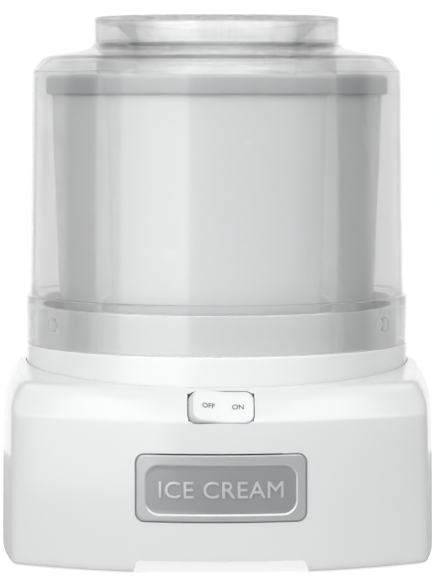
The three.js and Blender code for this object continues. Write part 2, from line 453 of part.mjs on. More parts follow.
// ---------------------------------------------------------------- drive line
{
  const hub = group();
  node('output_shaft', cyl(4, 53.9, 103.6, 0, 0, 16), MAT.steel, hub);
  node('output_gear', cut(join(extPts(gearPts(G3.m, G3.wheel), 0, 9.5), cyl(8, 0, 9.6, 0, 0, 16)), cyl(4.3, -1, 12, 0, 0, 16)), MAT.gearWhite, hub).position.set(0, 0, 71);
  hub.children[1].rotation.z = PH_OUT;
  // splined coupler over the shaft's end
  const lobes = (r, d, n = 6) => Array.from({ length: n * 8 }, (_, i) => {
    const a = (TAU * i) / (n * 8);
    const q = r + d * Math.tanh(2.2 * Math.cos(n * a));
    return [q * Math.cos(a), q * Math.sin(a)];
  });
  let c = join(extPts(lobes(15.6, 1.4), 96.4, 105), rev([[0, 92.4], [18.2, 92.4], [18.2, 95.6], [17.2, 96.6], [0, 96.6]], 24));
  c = cut(c, cyl(12.8, 90, 95.6, 0, 0, 20), cyl(4.3, 90, 104, 0, 0, 16));
  node('drive_coupler', c, MAT.gearWhite, hub);

  const two = group();
  two.position.set(...AX_2, 0);
  {
    const s = cut(join(extPts(gearPts(G2.m, G2.wheel, PH_W2), 62.5, 68.5), extPts(gearPts(G3.m, G3.pinion, PH_P3), 68, 81), cyl(5.6, 55, 63, 0, 0, 16)), cyl(2.85, 50, 90, 0, 0, 14));
    node('compound_gear_2', s, MAT.gearWhite, two);
  }
  const one = group();
  one.position.set(...AX_1, 0);
  {
    const s = cut(join(extPts(gearPts(G1.m, G1.wheel, PH_W1), 55, 61), extPts(gearPts(G2.m, G2.pinion, PH_P2), 60.5, 69.4), cyl(5.4, 69, 81, 0, 0, 16)), cyl(2.85, 50, 90, 0, 0, 14));
    node('compound_gear_1', s, MAT.gearWhite, one);
  }

  // ---- shaded-pole motor, shaft upright
  const m = group();
  m.position.set(AX_M[0], AX_M[1], 0);
  const frame = shapeOf([[-22, -25], [22, -25], [28, -19], [28, 36], [24, 40], [-24, 40], [-28, 36], [-28, -19]]);
  frame.holes.push(new THREE.Path(circle(15.3, 28).map(([x, y]) => new THREE.Vector2(x, y))));
  frame.holes.push(new THREE.Path([[-15.5, 18.5], [15.5, 18.5], [15.5, 28.5], [-15.5, 28.5]].map(([x, y]) => new THREE.Vector2(x, y))));
  for (const x of [-22, 22]) frame.holes.push(new THREE.Path(circle(2.05, 12, x, 0).map(([a, b]) => new THREE.Vector2(a, b))));
  node('motor_stator', ext(frame, 22, 44), MAT.lam, m);
  // bobbin: two flanges and a sleeve round the stator's rear leg
  const leg = box(-40, 40, 28.2, 40.3, 21.7, 44.3);
  let bob = join(box(-13.5, 13.5, 26.9, 41.6, 20.4, 45.6), box(-15.1, -13.5, 18.9, 49.6, 16.4, 49.6), box(13.5, 15.1, 18.9, 49.6, 16.4, 49.6));
  bob = cut(bob, leg, box(-16, -13, 10, 28.3, 21.7, 44.3).intersect(box(-60, -50, 0, 1, 0, 1)));
  node('coil_bobbin', bob, MAT.black, m);
  const coil = cut(join(box(-13.1, 13.1, 19.3, 49.2, 16.8, 49.2)), box(-20, 20, 26.5, 42, 20, 46));
  node('motor_coil', coil, MAT.copper, m);
  for (const [name, z0, z1, foot0, foot1] of [['upper', 46.6, 49.4, 44.3, 47], ['lower', 16.6, 19.4, 19, 21.7]]) {
    let b = join(extPts(roundRect(52, 14, 4, 3), z0, z1), cyl(8.6, z0, z1, 0, 0, 18));
    for (const x of [-22, 22]) b = join(b, cyl(3.8, foot0, foot1, x, 0, 12));
    b = cut(b, cyl(6.3, 0, 60, 0, 0, 18));
    for (const x of [-22, 22]) b = cut(b, cyl(2.05, 0, 60, x, 0, 12));
    node('motor_bracket_' + name, b, MAT.bracket, m);
    node('motor_bearing_' + name, rev([[2.85, z0 - 0.4], [6, z0 - 0.4], [6, z1 + 0.2], [2.85, z1 + 0.2]], 16), MAT.brass, m);
  }
  for (const [i, x] of [[1, -22], [2, 22]]) node('motor_bolt_' + i, screw(3.2, 2, 1.65, 35.8), MAT.steel, m).position.set(x, 0, 16.3);

  const rot = group(m);
  node('motor_shaft', cyl(2.5, 10.4, 62, 0, 0, 14), MAT.steel, rot);
  node('motor_rotor', rev([[2.85, 20.2], [9, 20.2], [14.6, 21.5], [14.6, 44.5], [9, 45.8], [2.85, 45.8]], 24), MAT.alu, rot);
  node('motor_pinion', cut(extPts(gearPts(G1.m, G1.pinion, PH_P1), 54.4, 61.8), cyl(2.85, 40, 70, 0, 0, 14)), MAT.brass, rot);
  let fan = join(cyl(5.4, 10.4, 15.4, 0, 0, 16), cyl(18.2, 14.2, 15.4, 0, 0, 24));
  for (let i = 0; i < 7; i++) fan = join(fan, solid(new THREE.BoxGeometry(13, 1.2, 4).rotateZ(0.25).translate(10.9, 0, 12.4).rotateZ((TAU * i) / 7)));
  fan = cut(fan, cyl(2.85, 0, 30, 0, 0, 14));
  node('cooling_fan', fan, MAT.black, rot);
}

// ---------------------------------------------------------------- freezer bowl
{
  const b = group();
  const socketLobes = (r, d, n = 6) => Array.from({ length: n * 8 }, (_, i) => {
    const a = (TAU * i) / (n * 8);
    const q = r + d * Math.tanh(2.2 * Math.cos(n * a));
    return [q * Math.cos(a), q * Math.sin(a)];
  });
  let shell = rev([
    [22.8, BOWL_BOT], [77.5, BOWL_BOT], [82.6, BOWL_BOT + 1.8], [84.9, BOWL_BOT + 6.5], [86.4, 132], [90.5, 244.4], [90.5, 247], [88.1, 247], [88.1, 243], [82.6, 100], [80.6, 96.4], [76.5, 94.7],
    [25.2, 94.7], [25.2, 111], [0, 111], [0, 108.6], [22.8, 108.6],
  ]);
  shell = cut(shell, cyl(6.4, 80, 96, 50, 0, 18));
  node('bowl_outer_shell', shell, MAT.bowlWhite, b);
  let socket = cut(cyl(22.4, BOWL_BOT + 0.2, 108.2, 0, 0, 28), extPts(socketLobes(16.3, 1.4), 95, 106), cyl(19.4, 80, 97.4, 0, 0, 28));
  node('bowl_drive_socket', socket, MAT.gearWhite, b);
  node('coolant_fill_plug', rev([[0, BOWL_BOT + 0.2], [6, BOWL_BOT + 0.2], [6, 94.5], [0, 94.5]], 16, 50, 0), MAT.rubber, b);
  node('bowl_inner_liner', rev([
    [0, 116.4], [58.5, 116.4], [65, 119], [67.6, 125.5], [74.1, 249.4], [84, 249.4], [84, 250.8], [73.4, 250.8], [72.6, 250.2], [66.1, 126], [63.8, 120.4], [58, 118], [0, 118],
  ]), MAT.alu, b);
  node('coolant_gel', rev([
    [0, 111.5], [25.7, 111.5], [25.7, 95.2], [76.3, 95.2], [80.2, 96.9], [82.1, 100.2], [87.1, 234], [73.8, 234], [68.1, 125.4], [65.4, 118.6], [58.6, 115.9], [0, 115.9],
  ]), MAT.gel, b);
  node('bowl_rim_ring', rev([
    [73.4, 251.2], [84.5, 251.2], [84.5, 248.6], [87.7, 248.6], [87.7, 247.5], [90.9, 247.5], [90.9, RIM_BOT], [92.4, RIM_BOT], [RIM_R, RIM_BOT + 1.3], [RIM_R, RIM_TOP - 2.2], [92.6, RIM_TOP - 0.6], [90.9, RIM_TOP], [75, RIM_TOP - 0.3], [73.4, RIM_TOP - 1],
  ]), MAT.rim, b);
}

// ---------------------------------------------------------------- mixing arm
{
  const t = 4.2; // web thickness
  const inR = (z) => 66.1 + ((z - 126) * (72.6 - 66.1)) / (250.2 - 126) - 1.6; // bowl wall less clearance
  // flat U of two scraper blades joined across the bottom, in the XZ plane
  const u = [[-inR(243), 243], [-inR(129), 129], [-60.5, 121.6], [-55, 119.6], [55, 119.6], [60.5, 121.6], [inR(129), 129], [inR(243), 243], [inR(243) - 13, 243], [inR(150) - 12, 150], [46, 133], [36, 129], [12, 129], [7, 136], [-7, 136], [-12, 129], [-36, 129], [-46, 133], [-inR(150) + 12, 150], [-inR(243) + 13, 243]];
  let a = solid(new THREE.ExtrudeGeometry(shapeOf(u), { depth: t, bevelEnabled: false }).rotateX(Math.PI / 2).translate(0, t / 2, 0));
  // retaining ring on top, with three lugs that sit in the lid's notches
  a = join(a, rev([[56, 239.4], [68.6, 239.4], [69.2, 240.4], [69.2, 245], [68.2, 246], [57, 246], [56, 245]]));
  for (const d of [60, 180, 300]) a = join(a, solid(new THREE.BoxGeometry(3.4, 9, 6.6).translate(64.9, 0, 248.8).rotateZ((d * Math.PI) / 180)));
  // paddles set at an angle on the bottom web
  for (const s of [-1, 1]) a = join(a, solid(new THREE.BoxGeometry(17, 3.4, 50).rotateZ(0.6).translate(s * 29, 0, 150)));
  node('mixing_arm', a, MAT.arm);
}

// ---------------------------------------------------------------- lid
{
  let lid = rev([
    [101.08, LID_SPLIT + 0.3], [101.0, 256.4], [94.9, 264.2], [69.6, 268.9], [67, 272], [67, 284.4], [65.8, LID_TOP],
    [55, LID_TOP - 0.3], [53.2, 282.9], [43.8, 272.4], [43, 264], [45.2, 264], [45.9, 271.3], [55.6, 282.3], [64.6, 282.6], [64.6, 270], [63.6, 248], [65.9, 248], [66, 265.7], [93.8, 261.6], [98.3, 256.2], [98.36, LID_SPLIT + 0.3],
  ]);
  // the same moulding's tall wall and skirt, a node of its own
  let wall = rev([[99.4, LID_BOT], [104.2, LID_BOT], [104.6, LID_BOT + 0.5], [104.6, 132.9], [102.6, 134.9], [101.08, LID_SPLIT], [98.36, LID_SPLIT], [99.9, 134.6], [99.4, 132.4]]);
  // notches that hold the mixing arm's lugs
  for (const d of [60, 180, 300]) lid = cut(lid, solid(new THREE.BoxGeometry(6, 10.2, 8).translate(64.9, 0, 248.9).rotateZ((d * Math.PI) / 180)));
  // locking pins inside the skirt
  for (const a of PIN_AT) wall = join(wall, solid(new THREE.CylinderGeometry(PIN_R, PIN_R, 3.4, 14).rotateZ(Math.PI / 2).translate(99.7, 0, PIN_Z).rotateZ((a * Math.PI) / 180)));
  node('lid', lid, MAT.clear);
  node('lid_wall', wall, MAT.clear);
}

root.position.z = GROUND;

export default root;
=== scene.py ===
import math
import bpy
import bmesh
import numpy as np
from mathutils import Matrix, Vector


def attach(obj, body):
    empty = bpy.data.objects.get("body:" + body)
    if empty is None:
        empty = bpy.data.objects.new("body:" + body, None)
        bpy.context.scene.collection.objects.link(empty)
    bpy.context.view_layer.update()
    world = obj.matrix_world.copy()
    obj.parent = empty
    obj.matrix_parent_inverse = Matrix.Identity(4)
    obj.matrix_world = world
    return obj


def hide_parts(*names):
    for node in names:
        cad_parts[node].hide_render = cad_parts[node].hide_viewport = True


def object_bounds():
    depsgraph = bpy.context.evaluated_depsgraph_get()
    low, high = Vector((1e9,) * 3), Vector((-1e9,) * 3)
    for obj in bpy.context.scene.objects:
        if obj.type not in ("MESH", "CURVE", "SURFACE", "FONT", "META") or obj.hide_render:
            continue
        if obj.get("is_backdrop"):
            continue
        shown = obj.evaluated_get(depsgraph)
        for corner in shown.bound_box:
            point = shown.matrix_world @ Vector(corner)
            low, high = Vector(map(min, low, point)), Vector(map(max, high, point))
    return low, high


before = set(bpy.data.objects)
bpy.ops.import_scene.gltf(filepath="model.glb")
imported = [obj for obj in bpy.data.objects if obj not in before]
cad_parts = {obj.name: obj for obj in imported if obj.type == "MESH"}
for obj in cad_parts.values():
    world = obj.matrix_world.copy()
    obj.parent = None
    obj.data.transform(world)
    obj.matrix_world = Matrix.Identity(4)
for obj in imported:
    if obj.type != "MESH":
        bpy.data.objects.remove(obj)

MM = 0.001
GROUND = 2.2  # heights below are from the CAD's datum plane, this far above the ground
CAD_BOX = [list(c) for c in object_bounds()]
SCENE = bpy.context.scene
COL = SCENE.collection

# ------------------------------------------------------------------ camera
CAM_D, CAM_H, CAM_AZ = 1.600, 0.2433, math.radians(-1.1)
cam_data = bpy.data.cameras.new("camera")
cam_data.sensor_fit = "AUTO"
cam_data.sensor_width = 36.0
cam_data.lens = 36.0 * 2911.0 / 578.0
cam_data.clip_start = 0.05
cam_data.clip_end = 60.0
cam = bpy.data.objects.new("camera", cam_data)
COL.objects.link(cam)
cam.location = (CAM_D * math.sin(CAM_AZ), -CAM_D * math.cos(CAM_AZ), CAM_H + GROUND * MM)
cam.rotation_euler = (math.radians(90 - 3.81), 0, CAM_AZ - math.radians(0.064))
SCENE.camera = cam


# ------------------------------------------------------------------ mesh helpers
def new_obj(name, verts, faces, mat=None, smooth=35.0):
    me = bpy.data.meshes.new(name)
    me.from_pydata([tuple(v) for v in verts], [], [tuple(int(i) for i in f) for f in faces])
    me.validate()
    o = bpy.data.objects.new(name, me)
    COL.objects.link(o)
    if mat:
        me.materials.append(mat)
    finish_mesh(o, smooth)
    return o


def finish_mesh(o, smooth=35.0):
    me = o.data
    bm = bmesh.new()
    bm.from_mesh(me)
    bmesh.ops.remove_doubles(bm, verts=bm.verts, dist=1e-7)
    bmesh.ops.recalc_face_normals(bm, faces=bm.faces)
    bm.to_mesh(me)
    bm.free()
    me.shade_smooth()
    if smooth:
        me.set_sharp_from_angle(angle=math.radians(smooth))
    me.update()


def boolean(o, cutters, op="DIFFERENCE", smooth=35.0):
    """o with each cutter joined or cut, applied, and the cutters removed."""
    for c in cutters:
        m = o.modifiers.new("b", "BOOLEAN")
        m.operation = op
        m.solver = "EXACT"
        m.object = c
    dg = bpy.context.evaluated_depsgraph_get()
    me = bpy.data.meshes.new_from_object(o.evaluated_get(dg))
    o.modifiers.clear()
    old = o.data
    o.data = me
    bpy.data.meshes.remove(old)
    for c in cutters:
        d = c.data
        bpy.data.objects.remove(c)
        bpy.data.meshes.remove(d)
    finish_mesh(o, smooth)
    return o


def join(objs, name):
    """One mesh object holding every given one, islands kept apart."""
    bm = bmesh.new()
    mats = []
    for o in objs:
        off = len(bm.verts)
        tmp = o.data.copy()
        tmp.transform(o.matrix_basis)
        bm.from_mesh(tmp)
        bpy.data.meshes.remove(tmp)
    me = bpy.data.meshes.new(name)
    bm.to_mesh(me)
    bm.free()
    for m in objs[0].data.materials:
        me.materials.append(m)
    for o in objs:
        d = o.data
        bpy.data.objects.remove(o)
        bpy.data.meshes.remove(d)
    o = bpy.data.objects.new(name, me)
    COL.objects.link(o)
    finish_mesh(o)
    return o


def fillet(pts, n=5):
    """A closed [r, z, radius] polygon with its corners rounded. A missing radius keeps the corner."""
    out = []
    k = len(pts)
    for i in range(k):
        p = np.array(pts[i][:2], float)
        rad = pts[i][2] if len(pts[i]) > 2 else 0.0
        if rad <= 0:
            out.append(p)
            continue
        a = np.array(pts[i - 1][:2], float) - p
        b = np.array(pts[(i + 1) % k][:2], float) - p
        la, lb = np.linalg.norm(a), np.linalg.norm(b)
        a, b = a / la, b / lb
        ang = math.acos(max(-1, min(1, float(a @ b))))
        t = min(rad / math.tan(ang / 2), 0.49 * la, 0.49 * lb)
        r = t * math.tan(ang / 2)
        c = p + (a + b) / np.linalg.norm(a + b) * (r / math.sin(ang / 2))
        s, e = p + a * t - c, p + b * t - c
        a0 = math.atan2(s[1], s[0])
        d = math.atan2(e[1], e[0]) - a0
        d = (d + math.pi) % (2 * math.pi) - math.pi
        m = max(2, int(math.ceil(abs(d) / (math.pi / 2) * n)))
        for j in range(m + 1):
            q = a0 + d * j / m
            out.append(c + r * np.array([math.cos(q), math.sin(q)]))
    return out


def dense(pts, step):
    """The same closed polygon with its long edges split."""
    out = []
    for i, p in enumerate(pts):
        q = pts[(i + 1) % len(pts)]
        out.append(np.array(p, float))
        L = float(np.linalg.norm(np.array(q) - np.array(p)))
        for j in range(1, int(L // step) + 1):
            out.append(np.array(p) + (np.array(q) - np.array(p)) * j / (int(L // step) + 1))
    return out


def lathe(name, pts, mat=None, seg=160, centre=(0, 0), smooth=35.0, step=14.0):
    """A closed [r, z] profile in mm turned about Z."""
    pts = dense(pts, step)
    verts, faces, rings = [], [], []
    for r, z in pts:
        if r < 1e-6:
            rings.append([len(verts)] * seg)
            verts.append((centre[0] * MM, centre[1] * MM, z * MM))
        else:
            rings.append(list(range(len(verts), len(verts) + seg)))
            for i in range(seg):
                t = 2 * math.pi * i / seg
                verts.append(((centre[0] + r * math.cos(t)) * MM, (centre[1] + r * math.sin(t)) * MM, z * MM))
    for j in range(len(rings)):
        a, b = rings[j], rings[(j + 1) % len(rings)]
        if a[0] == a[1] and b[0] == b[1]:
            continue
        for i in range(seg):
            k = (i + 1) % seg
            f = [a[i], a[k], b[k], b[i]]
            f = [v for n_, v in enumerate(f) if v not in f[:n_]]
            if len(f) > 2:
                faces.append(f)
    return new_obj(name, verts, faces, mat, smooth)


def prism(name, outline, d0, d1, matrix=None):
    """A closed outline [u, v] in mm extruded from d0 to d1 along its third axis."""
    n = len(outline)
    verts = [Vector((u, v, d0)) for u, v in outline] + [Vector((u, v, d1)) for u, v in outline]
    if matrix:
        verts = [matrix @ v for v in verts]
    faces = [list(range(n))[::-1], list(range(n, 2 * n))] + [[i, (i + 1) % n, n + (i + 1) % n, n + i] for i in range(n)]
    return new_obj(name, [v * MM for v in verts], faces)


def round_rect(w, h, r, n=10, split=8):
    """Points round a rounded rectangle: the same count for any size, corners and sides alike."""
    pts = []
    for cx, cy, a0 in ((w / 2 - r, h / 2 - r, 0), (-w / 2 + r, h / 2 - r, 90), (-w / 2 + r, -h / 2 + r, 180), (w / 2 - r, -h / 2 + r, 270)):
        arc = [(cx + r * math.cos(math.radians(a0 + 90 * i / n)), cy + r * math.sin(math.radians(a0 + 90 * i / n))) for i in range(n + 1)]
        pts.append(arc)
    out = []
    for q in range(4):
        out += pts[q]
        p, s = pts[q][-1], pts[(q + 1) % 4][0]
        out += [(p[0] + (s[0] - p[0]) * i / split, p[1] + (s[1] - p[1]) * i / split) for i in range(1, split)]
    return out


def rings_mesh(name, rings, mat=None, cap0=True, cap1=True, smooth=35.0):
    """Closed rings of equal count, in mm, skinned in order."""
    n = len(rings[0])
    verts = [tuple(c * MM for c in p) for r in rings for p in r]
    faces = []
    for j in range(len(rings) - 1):
        for i in range(n):
            k = (i + 1) % n
            faces.append([j * n + i, j * n + k, (j + 1) * n + k, (j + 1) * n + i])
    if cap0:
        faces.append(list(range(n))[::-1])
    if cap1:
        faces.append(list(range((len(rings) - 1) * n, len(rings) * n)))
    return new_obj(name, verts, faces, mat, smooth)


# ------------------------------------------------------------------ node helpers
def nodes_of(mat):
    mat.use_nodes = True
    t = mat.node_tree
    t.nodes.clear()
    return t, t.nodes, t.links


def noise(t, scale, detail=3.0, rough=0.5, vec=None):
    n = t.nodes.new("ShaderNodeTexNoise")
    n.inputs["Scale"].default_value = scale
    n.inputs["Detail"].default_value = detail
    n.inputs["Roughness"].default_value = rough
    if vec is not None:
        t.links.new(vec, n.inputs["Vector"])
    return n.outputs["Fac"]


def ramp(t, fac, lo, hi, a, b):
    m = t.nodes.new("ShaderNodeMapRange")
    m.inputs["From Min"].default_value = lo
    m.inputs["From Max"].default_value = hi
    m.inputs["To Min"].default_value = a
    m.inputs["To Max"].default_value = b
    t.links.new(fac, m.inputs["Value"])
    return m.outputs["Result"]


def mix_rgb(t, fac, a, b):
    m = t.nodes.new("ShaderNodeMix")
    m.data_type = "RGBA"
    t.links.new(fac, m.inputs["Factor"])
    m.inputs["A"].default_value = (*a, 1)
    m.inputs["B"].default_value = (*b, 1)
    return m.outputs["Result"]


def bump(t, height, strength, dist):
    b = t.nodes.new("ShaderNodeBump")
    b.inputs["Strength"].default_value = strength
    b.inputs["Distance"].default_value = dist
    t.links.new(height, b.inputs["Height"])
    return b.outputs["Normal"]


def surface(name, color, rough=0.3, metallic=0.0, spread=0.03, rough_spread=0.05, grain=900.0, grain_h=0.00002, strength=0.25, blotch=14.0, **sockets):
    """Moulded, painted or machined finish: slow colour drift, uneven gloss and a fine grain."""
    m = bpy.data.materials.new(name)
    t, ns, ln = nodes_of(m)
    out = ns.new("ShaderNodeOutputMaterial")
    p = ns.new("ShaderNodeBsdfPrincipled")
    ln.new(p.outputs["BSDF"], out.inputs["Surface"])
    co = ns.new("ShaderNodeTexCoord").outputs["Object"]
    lo = tuple(c * (1 - spread) for c in color)
    hi = tuple(min(1.0, c * (1 + spread * 0.5)) for c in color)
    ln.new(mix_rgb(t, noise(t, blotch, 3, 0.5, co), lo, hi), p.inputs["Base Color"])
    ln.new(ramp(t, noise(t, blotch * 4, 4, 0.6, co), 0.3, 0.7, max(0.02, rough - rough_spread), rough + rough_spread), p.inputs["Roughness"])
    ln.new(bump(t, noise(t, grain, 2, 0.5, co), strength, grain_h), p.inputs["Normal"])
    p.inputs["Metallic"].default_value = metallic
    for k, v in sockets.items():
        p.inputs[k.replace("_", " ")].default_value = v
    return m


def clear_plastic(name):
    """Clear moulded styrene-acrylonitrile: polished, with slow waviness from moulding."""
    m = bpy.data.materials.new(name)
    t, ns, ln = nodes_of(m)
    out = ns.new("ShaderNodeOutputMaterial")
    p = ns.new("ShaderNodeBsdfPrincipled")
    ln.new(p.outputs["BSDF"], out.inputs["Surface"])
    co = ns.new("ShaderNodeTexCoord").outputs["Object"]
    ln.new(mix_rgb(t, noise(t, 10, 2, 0.5, co), (0.992, 0.996, 0.998), (0.998, 1.0, 1.0)), p.inputs["Base Color"])
    ln.new(ramp(t, noise(t, 60, 4, 0.6, co), 0.35, 0.75, 0.0, 0.03), p.inputs["Roughness"])
    ln.new(bump(t, noise(t, 22, 2, 0.5, co), 0.12, 0.0004), p.inputs["Normal"])
    p.inputs["Transmission Weight"].default_value = 1.0
    p.inputs["IOR"].default_value = 1.5
    p.inputs["Alpha"].default_value = 0.62
    return m


# one white plastic in three brightnesses: the bowl's copy is painted lighter, painted light that makes up for the shade
# the clear lid casts on it; the collar's copy sits between the housing's and the bowl's
WHITE = surface("abs_white", (0.70, 0.705, 0.71), rough=0.2, spread=0.012, rough_spread=0.03, grain=1400, strength=0.12, Coat_Weight=0.35, Coat_Roughness=0.08)
COLLAR = surface("collar_white", (0.82, 0.825, 0.83), rough=0.22, spread=0.012, rough_spread=0.03, grain=1400, strength=0.12, Coat_Weight=0.25, Coat_Roughness=0.1)
BOWL_WHITE_PAINTED_LIGHT = surface("bowl_white", (0.91, 0.915, 0.92), rough=0.25, spread=0.01, rough_spread=0.03, grain=1200, strength=0.12, Coat_Weight=0.3, Coat_Roughness=0.1)
RIM = surface("rim_grey", (0.60, 0.615, 0.62), rough=0.34, spread=0.02, rough_spread=0.04, grain=1500, strength=0.2, Coat_Weight=0.2, Coat_Roughness=0.15)
SILVER = surface("silver_paint", (0.50, 0.51, 0.52), rough=0.36, metallic=0.55, spread=0.03, rough_spread=0.05, grain=2600, grain_h=0.00003, strength=0.35, blotch=30)
PANEL = surface("silver_panel", (0.34, 0.35, 0.36), rough=0.36, metallic=0.55, spread=0.03, rough_spread=0.05, grain=2600, grain_h=0.00003, strength=0.35, blotch=30)
# lighter silver for the raised letters, also used as a painted highlight on the plate's bevel
LETTERS_AND_BEVEL_HIGHLIGHT = surface("silver_letters_and_painted_bevel_highlight", (0.60, 0.61, 0.62), rough=0.36, metallic=0.55, spread=0.03, rough_spread=0.05, grain=2600, grain_h=0.00003, strength=0.35, blotch=30)
INK = surface("switch_ink", (0.06, 0.062, 0.065), rough=0.5, spread=0.05, grain=3000)
LINER = surface("liner_aluminium", (0.72, 0.73, 0.74), rough=0.3, metallic=1.0, spread=0.02, rough_spread=0.06, grain=500, strength=0.2)
ARM = surface("arm_white", (0.80, 0.81, 0.80), rough=0.36, spread=0.015, grain=1500, strength=0.25)
RUBBER = surface("rubber_dark", (0.03, 0.031, 0.033), rough=0.75, spread=0.2, rough_spread=0.08, grain=2200, grain_h=0.00006, strength=0.6)
STEEL = surface("screw_steel", (0.56, 0.57, 0.58), rough=0.3, metallic=1.0, spread=0.04, grain=3000, strength=0.25)
NYLON = surface("gear_nylon", (0.76, 0.74, 0.66), rough=0.42, spread=0.02, grain=1800, strength=0.3)
CASEG = surface("gearbox_grey", (0.1, 0.105, 0.112), rough=0.55, spread=0.08, grain=1600, grain_h=0.00005, strength=0.5)
LAM = surface("lamination_steel", (0.19, 0.195, 0.205), rough=0.45, metallic=0.8, spread=0.08, grain=1200, strength=0.4)
COPPER = surface("coil_copper", (0.47, 0.19, 0.08), rough=0.35, metallic=0.9, spread=0.1, grain=1500, strength=0.6)
BRASS = surface("bearing_brass", (0.55, 0.42, 0.17), rough=0.3, metallic=1.0, spread=0.05, grain=1500, strength=0.25)
BRACKET = surface("bracket_steel", (0.42, 0.43, 0.44), rough=0.4, metallic=0.9, spread=0.05, grain=1400, strength=0.3)
GEL = surface("coolant_blue", (0.34, 0.57, 0.76), rough=0.45, spread=0.06, grain=300, strength=0.3)
BLACK = surface("black_plastic", (0.018, 0.019, 0.02), rough=0.5, spread=0.15, grain=1800, grain_h=0.00005, strength=0.5)
CLEAR = clear_plastic("lid_clear")

# ------------------------------------------------------------------ housing surface, as in the CAD but smooth
FRONT_R, FRONT_Y = 175.0, -120.8
FRONT_C = FRONT_Y + FRONT_R
HOLE_R, SHELL_T, HOUSING_Z0 = 104.95, 2.8, -1.4
HALF_W = [(-1.4, 116.1), (-0.9, 116.7), (0, 117.1), (1.5, 117.3), (10, 117.3), (50, 117.0), (67, 116.7), (73.3, 116.4), (79.7, 116.0), (83, 115.6), (86.2, 115.0), (89.4, 114.0), (92.7, 112.6), (95.9, 110.5), (99.2, 107.5), (101.5, 103.8), (103.2, 99.2), (104.5, 92), (105.3, 81), (106, 51)]
HALF_D = [(-1.4, 119.8), (-0.9, 120.3), (0, 120.6), (1.5, 120.8), (10, 120.8), (50, 120.6), (60, 120.3), (70, 119.6), (76.4, 118.8), (77.6, 118.1), (81, 115.8), (85, 113.0), (88.8, 110.4), (91.5, 107.6), (92.9, 104.6), (94, 95.5), (95.2, 85), (96.3, 72), (97.2, 59), (98.5, 40), (100, 15), (100.6, 0.5)]
BOW_W = [(0, 440), (80, 440), (94, 272), (100, 225), (106, 200)]
SOFT = 1.1


def smooth_table(rows, sigma=2.2, keep_below=12.0):
    """The table's curve resampled along its length and smoothed, so that its corners don't show in reflections."""
    p = np.array(rows, float)
    s = np.concatenate([[0], np.cumsum(np.hypot(np.diff(p[:, 0]), np.diff(p[:, 1])))])
    u = np.arange(0, s[-1], 0.2)
    z, w = np.interp(u, s, p[:, 0]), np.interp(u, s, p[:, 1])
    k = int(sigma * 4 / 0.2)
    g = np.exp(-0.5 * (np.arange(-k, k + 1) * 0.2 / sigma) ** 2)
    g /= g.sum()
    zp, wp = np.pad(z, k, mode="reflect", reflect_type="odd"), np.pad(w, k, mode="reflect", reflect_type="odd")
    zs, ws = np.convolve(zp, g, "valid"), np.convolve(wp, g, "valid")
    f = np.clip((z - keep_below) / 8.0, 0, 1)
    zs, ws = z + (zs - z) * f, w + (ws - w) * f
    zs = np.maximum.accumulate(zs)
    return zs, ws


_W, _D, _RIDGE = smooth_table(HALF_W), smooth_table(HALF_D), smooth_table(HALF_D, 0.8)
half_w = lambda z: np.interp(z, *_W)


def half_d(z):
    k = np.exp(-((z - 77.0) / 4.0) ** 4)  # the front's ridge stays crisp
    return np.interp(z, *_D) * (1 - k) + np.interp(z, *_RIDGE) * k


_B = np.array(BOW_W, float)
bow_w = lambda z: np.interp(z, _B[:, 0], _B[:, 1])


def field(x, y, z, inset=0.0):
    zz = z + inset
    a = np.abs(x) - half_w(zz) + y * y / (2 * bow_w(zz)) + inset
    b = np.abs(y) - half_d(zz) + x * x / (2 * FRONT_R) + inset
    m = np.maximum(a, b)
    return m + SOFT * np.log(np.exp((a - m) / SOFT) + np.exp((b - m) / SOFT)) - SOFT * math.log(2) * 0.35


def bisect(f, n, lo=0.0, hi=95.0):
    lo, hi = np.full(n, lo), np.full(n, hi)
    for _ in range(34):
        mid = (lo + hi) / 2
        inside = f(mid) < 0
        lo, hi = np.where(inside, mid, lo), np.where(inside, hi, mid)
    return (lo + hi) / 2


def quadrant_angles():
    q = np.concatenate([np.arange(0, 32, 2.0), np.arange(32, 36.4, 0.8), np.arange(36.4, 40.4, 0.2), np.arange(40.4, 45, 0.9), np.arange(45, 90, 2.0)])
    out = []
    for k in range(4):
        out += list(k * 90 + (q if k % 2 == 0 else np.sort(np.mod(90 - q, 90))))
    return np.radians(np.array(sorted(set(np.round(out, 4)))))


TH = quadrant_angles()


def housing_rings(inset, z_rows, upper):
    c, s, n = np.cos(TH), np.sin(TH), len(TH)
    rings = []
    for z in z_rows:
        r = bisect(lambda q: field((50 + q) * c, (50 + q) * s, max(z, HOUSING_Z0), inset), n) + 50
        rings.append(np.stack([r * c, r * s, np.full(n, float(z))], 1))
    zc = z_rows[-1]
    wall = bisect(lambda q: field((50 + q) * c, (50 + q) * s, zc, inset), n) + 50
    rc = np.maximum(HOLE_R - 9, wall - 34)
    path = []
    for a in np.radians(np.arange(0, 90.01, 1.0)):
        q = bisect(lambda d: field((rc + d * math.cos(a)) * c, (rc + d * math.cos(a)) * s, zc + d * math.sin(a), inset), n)
        path.append(np.stack([rc + q * math.cos(a), zc + q * math.sin(a)], 1))
    for f in np.linspace(0, 1, 30)[1:]:
        r = rc + (HOLE_R - 6 - rc) * f
        q = bisect(lambda d: field(r * c, r * s, zc + d, inset), n)
        path.append(np.stack([r, zc + q], 1))
    path = np.array(path)  # step, angle, (r, z)
    new = np.zeros((upper, n, 3))
    for i in range(n):
        r, z = path[:, i, 0], path[:, i, 1]
        cut = int(np.argmax(r < HOLE_R))
        t = (r[cut - 1] - HOLE_R) / (r[cut - 1] - r[cut])
        rr = np.append(r[:cut], HOLE_R)
        zz = np.append(z[:cut], z[cut - 1] + (z[cut] - z[cut - 1]) * t)
        l = np.concatenate([[0], np.cumsum(np.hypot(np.diff(rr), np.diff(zz)))])
        u = np.linspace(0, l[-1], upper + 1)[1:]
        ri, zi = np.interp(u, l, rr), np.interp(u, l, zz)
        new[:, i, 0], new[:, i, 1], new[:, i, 2] = ri * c[i], ri * s[i], zi
    return rings + list(new)


